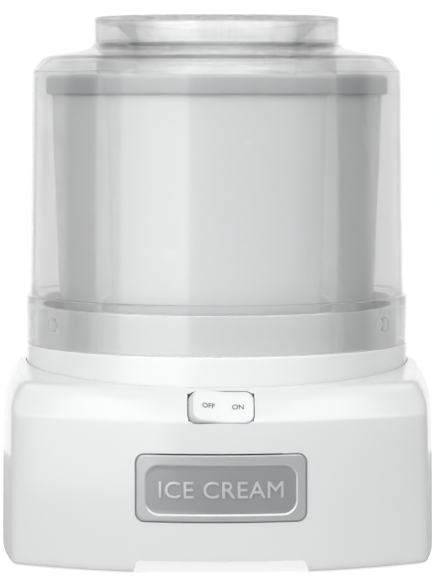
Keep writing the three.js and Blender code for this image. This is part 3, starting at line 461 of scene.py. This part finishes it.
SW_C = Vector((0, -112.7, 83.1))
SW_TILT = math.radians(32.4)
SW_U, SW_V, SW_N = Vector((1, 0, 0)), Vector((0, math.sin(SW_TILT), math.cos(SW_TILT))), Vector((0, -math.cos(SW_TILT), math.sin(SW_TILT)))
SW_M = Matrix.Translation(SW_C) @ Matrix((SW_U, SW_V, SW_N)).transposed().to_4x4()
SW_W, SW_H, SW_PIVOT, SW_REST = 34.6, 19.4, -7.5, math.radians(7)
PLATE_W, PLATE_H, PLATE_Z = 87.4, 34.3, 42.4
FRONT_M = Matrix(((1, 0, 0, 0), (0, 0, -1, 0), (0, 1, 0, 0), (0, 0, 0, 1)))  # (u, v, d) to (x, -d, z)


def make_housing():
    outer = housing_rings(0.0, [-1.4, -1.2, -0.9, -0.5, 0.1, 1, 2.5, 5, 10, 18, 26, 34, 42, 50, 58, 66], 60)
    inner = housing_rings(SHELL_T, [-1.4, 12, 30, 45, 58], 18)
    rings = [list(map(tuple, r)) for r in outer] + [list(map(tuple, r)) for r in inner[::-1]]
    rings.append(rings[0])
    o = rings_mesh("housing_shell", rings, WHITE, cap0=False, cap1=False)
    cut = []
    cut.append(prism("c1", round_rect(SW_W, SW_H, 4.9, 10, 6), -14, 14, SW_M))
    arc = [(18.9 * math.cos(2 * math.pi * i / 72), 18.9 * math.sin(2 * math.pi * i / 72)) for i in range(72)]
    flare_m = SW_M @ Matrix.Translation((0, 0, SW_PIVOT)) @ Matrix.Rotation(math.radians(90), 4, "X")
    cut.append(prism("c2", arc, -(SW_H - 3) / 2, (SW_H - 3) / 2, flare_m))
    # sunk seat for the plate
    rr = round_rect(PLATE_W + 1.3, PLATE_H + 1.3, 4.95, 10, 20)
    ring = lambda rad: [(u, FRONT_C - math.sqrt(rad * rad - u * u), PLATE_Z + v) for u, v in rr]
    cut.append(rings_mesh("c3", [ring(FRONT_R + 8), ring(FRONT_R - 1.4)]))
    # relief in the lower edge, front and rear
    arch = fillet([(-46.4, -6), (46.4, -6), (45.4, -1.8), (43.2, 4.6, 2.2), (-43.2, 4.6, 2.2), (-45.4, -1.8)], 6)
    cut.append(prism("c4", [tuple(p) for p in arch], -150, 150, FRONT_M))
    # cord hole
    t = math.atan(62 / FRONT_R)
    cut.append(prism("c5", [(6.9 * math.cos(2 * math.pi * i / 48), 6.9 * math.sin(2 * math.pi * i / 48)) for i in range(48)], -12, 12,
                     Matrix.Translation((62, 120.8 - 62 * 62 / (2 * FRONT_R), 24)) @ Matrix.Rotation(-t, 4, "Z") @ Matrix.Rotation(math.radians(90), 4, "X")))
    boolean(o, cut)
    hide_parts("base_housing")
    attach(o, "base")
    return o


housing = make_housing()

# ------------------------------------------------------------------ collar and well
COLLAR_R, SEAM_Z, RING_R0, RING_R1, RING_TOP = 104.6, 108.2, 96.0, 98.9, 129.3
well = lathe("well_and_collar", fillet([
    (9.3, 88.1), (94, 88.1, 3), (98.9, 92.6, 3), (98.9, 105.4), (101.8, 105.4), (101.8, 84), (104.6, 84), (104.6, 108.2, 1.1),
    (98.9, 108.2), (98.9, 129.3, 0.9), (96, 129.3, 0.9), (96, 94.6, 4), (92.5, 90.6, 4), (12.2, 90.6, 0.5), (12.2, 94.6, 0.6), (9.3, 94.6, 0.6)], 5), COLLAR, 192)
PINS = [-150, -30, 90]
grooves = []
for a in PINS:
    m = Matrix.Rotation(math.radians(a), 4, "Z") @ Matrix.Translation((99.2, 0, 0)) @ Matrix.Rotation(math.radians(90), 4, "Z") @ Matrix.Rotation(math.radians(90), 4, "X")
    g = [(-4.7, 136), (-4.7, 121)] + [(4.7 * math.cos(math.radians(180 + 15 * i)), 121 + 4.7 * math.sin(math.radians(180 + 15 * i))) for i in range(1, 12)] + [(4.7, 121), (4.7, 136)]
    grooves.append(prism("g", g, -2, 2, m))
boolean(well, grooves)
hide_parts("bowl_well")
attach(well, "base")

# ------------------------------------------------------------------ lid
lid = lathe("clear_lid", fillet([
    (99.4, 108.5, 0.6), (104.6, 108.5, 0.6), (104.6, 134.9, 2.0), (102.6, 134.9, 0.5), (101.0, 256.6, 2.0), (94.9, 264.2, 2.6), (69.6, 268.9, 2.6), (67, 271.6, 1.6), (67, 285.7, 1.6), (65, 285.7, 0.8),
    (55, 285.3, 1.8), (44.2, 272.2, 3.5), (43, 264, 0.8), (45.4, 264, 0.8), (46.3, 271.4, 3.0), (56.2, 282.8, 1.5), (64.6, 282.9, 1.0), (64.6, 269, 1.5), (63.6, 248, 0.8), (65.9, 248, 0.8), (66, 265.9, 1.5), (93.6, 261.5, 2.0), (98.3, 256, 1.6),
    (99.9, 134.6, 0.6), (99.4, 133.4, 0.6)], 6), CLEAR, 192, step=9.0)
cuts, pins = [], []
for a in (60, 180, 300):
    m = Matrix.Rotation(math.radians(a), 4, "Z") @ Matrix.Translation((64.9, 0, 0)) @ Matrix.Rotation(math.radians(90), 4, "Z") @ Matrix.Rotation(math.radians(90), 4, "X")
    cuts.append(prism("n", [tuple(p) for p in fillet([(-5.1, 244), (5.1, 244), (5.1, 252.9, 1.2), (-5.1, 252.9, 1.2)], 4)], -2.2, 2.2, m))
for a in PINS:
    m = Matrix.Rotation(math.radians(a), 4, "Z") @ Matrix.Rotation(math.radians(90), 4, "Y")
    rings = []
    for r, d in ((3.9, 101.2), (3.9, 98.5), (3.6, 98.1), (3.0, 98.0)):
        rings.append([tuple(m @ Vector((-121 + 0, 0, 0)) + m.to_3x3() @ Vector((r * math.cos(2 * math.pi * i / 40), r * math.sin(2 * math.pi * i / 40), d))) for i in range(40)])
    pins.append(rings_mesh("p", rings))
boolean(lid, cuts)
boolean(lid, pins, "UNION")
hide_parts("lid", "lid_wall")
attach(lid, "lid")

# ------------------------------------------------------------------ freezer bowl
shell = lathe("bowl_shell", fillet([
    (22.8, 92, 0.6), (77.5, 92, 6), (84.7, 92.9, 7), (84.9, 98.5, 3), (86.4, 132), (90.5, 244.4), (90.5, 247), (88.1, 247), (88.1, 243), (82.6, 100), (80.6, 96.4), (76.5, 94.7),
    (25.2, 94.7), (25.2, 111), (0, 111), (0, 108.6), (22.8, 108.6)], 6), BOWL_WHITE_PAINTED_LIGHT, 192)
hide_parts("bowl_outer_shell")
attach(shell, "freezer_bowl")
rim = lathe("bowl_rim", fillet([
    (73.4, 251.2), (84.5, 251.2), (84.5, 248.6), (87.7, 248.6), (87.7, 247.5), (90.9, 247.5), (90.9, 243.6, 0.5), (93.4, 243.6, 1.2), (93.4, 254.3, 2.6), (73.4, 254.3, 1.2)], 6), RIM, 192)
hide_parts("bowl_rim_ring")
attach(rim, "freezer_bowl")
liner = lathe("bowl_liner", fillet([
    (0, 116.4), (58.5, 116.4, 8), (65.6, 118, 8), (67.6, 125.5, 4), (74.1, 249.4, 0.8), (84, 249.4), (84, 250.8), (72.7, 250.8, 1.2), (66.1, 126, 4), (64.2, 119.6, 8), (58, 118, 6), (0, 118)], 6), LINER, 160)
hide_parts("bowl_inner_liner")
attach(liner, "freezer_bowl")

# ------------------------------------------------------------------ mixing arm
def make_arm():
    in_r = lambda z: 66.1 + (z - 126) * (72.6 - 66.1) / (250.2 - 126) - 1.6
    t = 2.1
    # the U of two scraper blades, edges eased
    u = [(in_r(243), 243), (in_r(129), 129, 5), (60.5, 121.6, 4), (55, 119.6, 3), (-55, 119.6, 3), (-60.5, 121.6, 4), (-in_r(129), 129, 5), (-in_r(243), 243),
         (-in_r(243) + 13, 243), (-in_r(150) + 12, 150, 16), (-46, 133, 7), (-36, 129, 5), (-12, 129, 5), (-7, 136, 3), (7, 136, 3), (12, 129, 5), (36, 129, 5), (46, 133, 7), (in_r(150) - 12, 150, 16), (in_r(243) - 13, 243)]
    o = prism("mixing_arm_body", [tuple(p) for p in dense(fillet(u, 6), 6)], -t, t, FRONT_M)
    ring = lathe("r", fillet([(56, 239.4, 1), (69.2, 239.4, 1), (69.2, 246, 1), (56, 246, 1)], 4), None, 128)
    add = [ring]
    for a in (60, 180, 300):
        m = Matrix.Rotation(math.radians(a), 4, "Z") @ Matrix.Translation((64.9, 0, 0)) @ Matrix.Rotation(math.radians(90), 4, "Z") @ Matrix.Rotation(math.radians(90), 4, "X")
        add.append(prism("l", [tuple(p) for p in fillet([(-4.5, 245.2), (4.5, 245.2), (4.5, 252.1, 1.4), (-4.5, 252.1, 1.4)], 4)], -1.7, 1.7, m))
    for s in (-1, 1):
        m = Matrix.Translation((s * 29, 0, 0)) @ Matrix.Rotation(0.6, 4, "Z")
        add.append(prism("w", [tuple(p) for p in fillet([(-8.5, -1.7, 1.2), (8.5, -1.7, 1.2), (8.5, 1.7, 1.2), (-8.5, 1.7, 1.2)], 4)], 125, 175, m))
    boolean(o, add, "UNION")
    bev = o.modifiers.new("ease", "BEVEL")
    bev.width = 0.0007
    bev.segments = 2
    bev.limit_method = "ANGLE"
    bev.angle_limit = math.radians(50)
    o.data.materials.append(ARM)
    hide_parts("mixing_arm")
    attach(o, "mixing_arm")
    return o


arm = make_arm()

# ------------------------------------------------------------------ front plate and its lettering
def on_front(u, v, h):
    return (u, FRONT_C - math.sqrt((FRONT_R + h) ** 2 - u * u), PLATE_Z + v)


def make_plate():
    H = 1.1
    rings = []
    outline = lambda w, h, r, z, dv=0.0: [on_front(u, v + dv, z) for u, v in round_rect(w, h, r, 10, 22)]
    rings.append(outline(PLATE_W, PLATE_H, 4.3, -1.1))
    rings.append(outline(PLATE_W, PLATE_H, 4.3, H - 0.8))
    for k in range(1, 6):
        a = math.pi / 2 * k / 5
        d = 0.8 * (1 - math.cos(a))
        rings.append(outline(PLATE_W - 2 * d, PLATE_H - 2 * d, 4.3 - d, H - 0.8 + 0.8 * math.sin(a)))
    rings.append(outline(84.6, 31.6, 4.4, H))
    rings.append(outline(79.4, 27.2, 7.8, H, -0.8))
    for k, (d, z) in enumerate(((0, 0.0), (0.25, -0.06), (0.6, -0.3), (0.95, -0.62), (1.15, -0.7))):
        rings.append(outline(79.0 - 2 * d, 26.8 - 2 * d, 7.6 - d, H + z, -0.8))
    for f in (0.8, 0.6, 0.4, 0.2, 0.0):
        rings.append([on_front(u, v * f - 0.8, H - 0.7) for u, v in round_rect(76.7, 24.5, 6.45, 10, 22)])
    o = rings_mesh("front_plate", rings, SILVER, cap1=False)
    for m in (PANEL, LETTERS_AND_BEVEL_HIGHLIGHT):
        o.data.materials.append(m)
    for f in o.data.polygons:
        u, v = f.center.x, f.center.z - (PLATE_Z - 0.8) * MM
        depth = math.hypot(u, f.center.y - FRONT_C * MM) - (FRONT_R + H) * MM
        # the sloping walls of the recess take the lighter letter silver as a painted highlight along the bevel; the
        # recess floor takes the darker panel silver
        if abs(u) < 39.6 * MM and abs(v) < 13.5 * MM and f.normal.y < -0.3:
            f.material_index = 1 if depth < -0.64 * MM else 2 if depth < -0.02 * MM else 0
    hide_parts("nameplate")
    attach(o, "base")
    return o


plate = make_plate()


def lettering(name, text, size, depth, mat, place, body, space=1.0, bold=0.0, width=None, bevel=0.0):
    """Flat generic lettering as a mesh. place maps (u, v, d) in mm to the row frame in mm."""
    c = bpy.data.curves.new(name, "FONT")
    c.body = text
    c.align_x = "CENTER"
    c.align_y = "CENTER"
    c.size = size
    c.space_character = space
    c.extrude = depth / 2
    c.offset = bold
    c.bevel_depth = bevel
    c.bevel_resolution = 2
    c.resolution_u = 6
    tmp = bpy.data.objects.new(name, c)
    COL.objects.link(tmp)
    dg = bpy.context.evaluated_depsgraph_get()
    me = bpy.data.meshes.new_from_object(tmp.evaluated_get(dg))
    bpy.data.objects.remove(tmp)
    bpy.data.curves.remove(c)
    bm = bmesh.new()
    bm.from_mesh(me)
    bmesh.ops.remove_doubles(bm, verts=bm.verts, dist=1e-4)
    bmesh.ops.triangulate(bm, faces=[f for f in bm.faces if len(f.verts) > 4])
    bm.to_mesh(me)
    bm.free()
    xs = [v.co.x for v in me.vertices]
    ys = [v.co.y for v in me.vertices]
    k = width / (max(xs) - min(xs)) if width else 1.0
    mx, my = (max(xs) + min(xs)) / 2, (max(ys) + min(ys)) / 2
    for v in me.vertices:
        p = place((v.co.x - mx) * k, v.co.y - my, v.co.z + depth / 2)
        v.co = (p[0] * MM, p[1] * MM, p[2] * MM)
    me.name = name
    me.materials.clear()
    me.materials.append(mat)
    o = bpy.data.objects.new(name, me)
    COL.objects.link(o)
    finish_mesh(o, 30)
    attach(o, body)
    return o


letters = lettering("plate_lettering", "ICE CREAM", 12.2, 0.62, LETTERS_AND_BEVEL_HIGHLIGHT, lambda u, v, d: on_front(u, v - 0.8, 0.38 + d), "base", space=1.05, bold=0.0, width=64.0, bevel=0.1)

# ------------------------------------------------------------------ rocker
TURN = SW_M @ Matrix.Translation((0, 0, SW_PIVOT)) @ Matrix.Rotation(SW_REST, 4, "Y") @ Matrix.Translation((0, 0, -SW_PIVOT))
ROCK_R = math.hypot(SW_W / 2 - 0.45, SW_PIVOT)


def rocker_top(u):
    return 1.0 + math.tan(SW_REST) * (math.sqrt(u * u + 1.2) - math.sqrt(1.2) * 0.6)


def make_rocker():
    half = SW_W / 2 - 0.45
    rings = []

    def ring(w, h, r, height, wall):
        pts = []
        for u, v in round_rect(w, h, r, 9, 10):
            n = height(u)
            k = math.sqrt(max(0.01, ROCK_R ** 2 - (n - SW_PIVOT) ** 2)) / half if wall else 1.0
            pts.append(tuple(TURN @ Vector((u * min(k, 1.07), v, n))))
        return pts

    W, Hh, RR = 2 * half, SW_H - 1.0, 5.2
    rings.append(ring(W, Hh, RR, lambda u: -2.7, True))
    rings.append(ring(W, Hh, RR, lambda u: -1.2, True))
    e = 1.1
    for f in (0.0, 0.4, 0.8):
        rings.append(ring(W, Hh, RR, lambda u, f=f: -1.2 + (rocker_top(u * 0.93) - e + 1.2) * (0.35 + 0.65 * f / 0.8), True))
    top_w = 2 * math.sqrt(ROCK_R ** 2 - (rocker_top(15) - e - SW_PIVOT) ** 2)
    for k in range(1, 7):
        a = math.pi / 2 * k / 6
        d = e * (1 - math.cos(a))
        rings.append(ring(top_w - 2 * d, Hh - 2 * d, RR - d, lambda u, a=a: rocker_top(u) - e + e * math.sin(a), False))
    for f in (0.8, 0.6, 0.4, 0.2, 0.0):
        rings.append([tuple(TURN @ Vector((u, v * f, rocker_top(u)))) for u, v in round_rect(top_w - 2 * e, Hh - 2 * e, RR - e, 9, 10)])
    o = rings_mesh("power_rocker_cap", rings, WHITE, cap1=False)
    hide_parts("power_rocker")
    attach(o, "power_rocker")
    return o


rocker = make_rocker()
on_cap = lambda u0: (lambda u, v, d: tuple(TURN @ Vector((u0 + u, v, rocker_top(u0 + u) + 0.0 + d))))
off_text = lettering("switch_off_lettering", "OFF", 3.9, 0.12, INK, on_cap(-7.6), "power_rocker", bold=0.03)
on_text = lettering("switch_on_lettering", "ON", 3.9, 0.12, INK, on_cap(7.6), "power_rocker", bold=0.03)

# ------------------------------------------------------------------ feet and cord gland
for tag, x, y in (("front_left", -80, -71), ("front_right", 80, -71), ("rear_left", -80, 71), ("rear_right", 80, 71)):
    f = lathe("rubber_foot_" + tag, fillet([(0, -GROUND), (8.7, -GROUND, 0.9), (9.6, 6.5, 0.6), (3, 6.5), (3, 9.6), (4.2, 10.1, 0.4), (2.6, 12.3, 0.4), (0, 12.3)], 4), RUBBER, 48, (x, y))
    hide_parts("foot_" + tag)
    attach(f, "base")
gland = lathe("cord_gland_body", fillet([(3.4, -7, 0.4), (6.3, -7, 0.6), (8.2, -5.2, 0.3), (8.2, -3.6, 0.3), (6.5, -3.6), (6.5, 0.45), (9.4, 0.45, 0.5), (9.4, 3, 1.4), (3.4, 3, 0.9)], 4), RUBBER, 48)
gm = Matrix.Translation(Vector((62, 120.8 - 62 * 62 / (2 * FRONT_R), 24)) * MM) @ Matrix.Rotation(-math.atan(62 / FRONT_R), 4, "Z") @ Matrix.Rotation(math.radians(-90), 4, "X")
gland.data.transform(gm)
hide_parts("cord_gland")
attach(gland, "base")

# ------------------------------------------------------------------ finishes for the CAD pieces that stay
KEEP = {"bottom_cover": WHITE, "switch_body": BLACK, "gearbox_case": CASEG, "gearbox_cover": CASEG, "output_bush": BRASS, "shaft_seal": RUBBER, "motor_stator": LAM, "coil_bobbin": BLACK,
        "motor_coil": COPPER, "motor_bracket_upper": BRACKET, "motor_bracket_lower": BRACKET, "motor_bearing_upper": BRASS, "motor_bearing_lower": BRASS, "output_shaft": STEEL, "output_gear": NYLON,
        "drive_coupler": NYLON, "compound_gear_1": NYLON, "compound_gear_2": NYLON, "motor_shaft": STEEL, "motor_rotor": LAM, "motor_pinion": BRASS, "cooling_fan": BLACK, "bowl_drive_socket": NYLON,
        "coolant_fill_plug": RUBBER, "coolant_gel": GEL, "gear_axle_1": STEEL, "gear_axle_2": STEEL}
for name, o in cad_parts.items():
    m = KEEP.get(name) or (STEEL if "screw" in name or "bolt" in name else None)
    if m:
        o.data.materials.clear()
        o.data.materials.append(m)

# ------------------------------------------------------------------ floor, surroundings and light
def make_floor():
    n, R = 96, 0.45
    verts, faces = [(0, 0, -0.0004)], []
    radii = [0.12, 0.2, 0.3, 0.38, R]
    for r in radii:
        verts += [(r * math.cos(2 * math.pi * i / n), r * math.sin(2 * math.pi * i / n), -0.0004) for i in range(n)]
    for i in range(n):
        faces.append([0, 1 + i, 1 + (i + 1) % n])
        for k in range(len(radii) - 1):
            a, b = 1 + k * n, 1 + (k + 1) * n
            faces.append([a + i, b + i, b + (i + 1) % n, a + (i + 1) % n])
    m = bpy.data.materials.new("floor_pale")
    t, ns, ln = nodes_of(m)
    out = ns.new("ShaderNodeOutputMaterial")
    p = ns.new("ShaderNodeBsdfPrincipled")
    ln.new(p.outputs["BSDF"], out.inputs["Surface"])
    co = ns.new("ShaderNodeTexCoord").outputs["Object"]
    ln.new(mix_rgb(t, noise(t, 3, 2, 0.5, co), (0.46, 0.46, 0.46), (0.49, 0.49, 0.49)), p.inputs["Base Color"])
    p.inputs["Roughness"].default_value = 0.9
    p.inputs["Specular IOR Level"].default_value = 0.1
    p.inputs["Emission Color"].default_value = (1, 1, 1, 1)
    lit = ns.new("ShaderNodeMapRange")  # the paper looks white but throws less light back at the object
    ln.new(ns.new("ShaderNodeLightPath").outputs["Is Camera Ray"], lit.inputs["Value"])
    lit.inputs["To Min"].default_value = 0.16
    lit.inputs["To Max"].default_value = 0.8
    ln.new(lit.outputs["Result"], p.inputs["Emission Strength"])
    o = new_obj("floor", verts, faces, m, 0)
    o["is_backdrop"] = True
    return o


floor = make_floor()


def make_world():
    w = bpy.data.worlds.new("studio")
    SCENE.world = w
    w.use_nodes = True
    t = w.node_tree
    t.nodes.clear()
    ns, ln = t.nodes, t.links
    out = ns.new("ShaderNodeOutputWorld")
    bg = ns.new("ShaderNodeBackground")
    ln.new(bg.outputs[0], out.inputs[0])
    sep = ns.new("ShaderNodeSeparateXYZ")
    ln.new(ns.new("ShaderNodeTexCoord").outputs["Generated"], sep.inputs[0])
    X, Y, Z = sep.outputs

    def op(kind, a, b=None, c=None):
        n = ns.new("ShaderNodeMath")
        n.operation = kind
        for i, v in enumerate((a, b, c)):
            if v is None:
                continue
            if isinstance(v, (int, float)):
                n.inputs[i].default_value = v
            else:
                ln.new(v, n.inputs[i])
        return n.outputs[0]

    def window(v, lo, hi, soft):
        """1 between lo and hi, falling smoothly to 0 over soft on each side."""
        def edge(a, b):
            m = ns.new("ShaderNodeMapRange")
            m.interpolation_type = "SMOOTHSTEP"
            ln.new(v, m.inputs["Value"])
            m.inputs["From Min"].default_value = a
            m.inputs["From Max"].default_value = b
            return m.outputs["Result"]
        return op("MULTIPLY", edge(lo - soft, lo), op("SUBTRACT", 1.0, edge(hi, hi + soft)))

    # azimuth 0 towards the viewer's side (-Y), growing towards +X, in degrees; elevation in degrees
    az = op("MULTIPLY", op("ARCTAN2", X, op("MULTIPLY", Y, -1.0)), 180 / math.pi)
    el = op("MULTIPLY", op("ARCSINE", Z), 180 / math.pi)
    aaz = op("ABSOLUTE", az)
    total = None
    BOXES = [  # azimuth window, elevation window, softness, strength
        (az, -60, -20, -8, 24, 4.0, 1.75),  # large front-left softbox
        (az, -20, 60, -8, 24, 8.0, 0.48),  # weaker fill, front and right
        (aaz, -1, 96, -90, -8, 5.0, 0.30),  # light table in front
        (aaz, -1, 68, 28, 56, 6.0, 2.25),  # overhead, in front
        (aaz, 76, 181, 28, 56, 8.0, 0.30),  # overhead, behind
        (aaz, -1, 181, 56, 91, 6.0, 0.85),  # overhead, right above
        (aaz, 112, 158, -90, 24, 6.0, 0.62),  # room behind
        (aaz, 162, 181, -90, 20, 5.0, 1.15),  # lit background
    ]
    total = 0.03
    for v, a0, a1, e0, e1, s, k in BOXES:
        b = op("MULTIPLY", window(v, a0, a1, s), op("MULTIPLY", window(el, e0, e1, s), k))
        total = op("ADD", total, b)
    # a plain white backdrop behind the object from every side
    seen = ns.new("ShaderNodeLightPath").outputs["Is Camera Ray"]
    total = op("ADD", op("MULTIPLY", total, op("SUBTRACT", 1.0, seen)), op("MULTIPLY", seen, 1.02))
    ln.new(total, bg.inputs["Strength"])
    bg.inputs["Color"].default_value = (1, 1, 1, 1)


make_world()
SCENE.view_settings.view_transform = "Standard"
SCENE.view_settings.look = "None"

# ------------------------------------------------------------------ raise every new piece from the datum to the ground
CAD_NAMES = {o.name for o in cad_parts.values()}
for piece in [o for o in bpy.data.objects if o.type == "MESH" and o.name not in CAD_NAMES and o != floor]:
    m = piece.matrix_basis
    piece.data.transform(m.inverted() @ Matrix.Translation((0, 0, GROUND * MM)) @ m)
    for v in piece.data.vertices:  # keeps rounded surfaces inside the CAD model's box
        w = m @ v.co
        inside = Vector([min(max(w[i], CAD_BOX[0][i]), CAD_BOX[1][i]) for i in range(3)])
        if (inside - w).length > 1e-7:
            v.co = m.inverted() @ inside
    piece.data.update()

# ------------------------------------------------------------------ sizes
VIS_BOX = [list(c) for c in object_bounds()]
{"cad": [[float(v) for v in c] for c in CAD_BOX], "visual": [[float(v) for v in c] for c in VIS_BOX]}
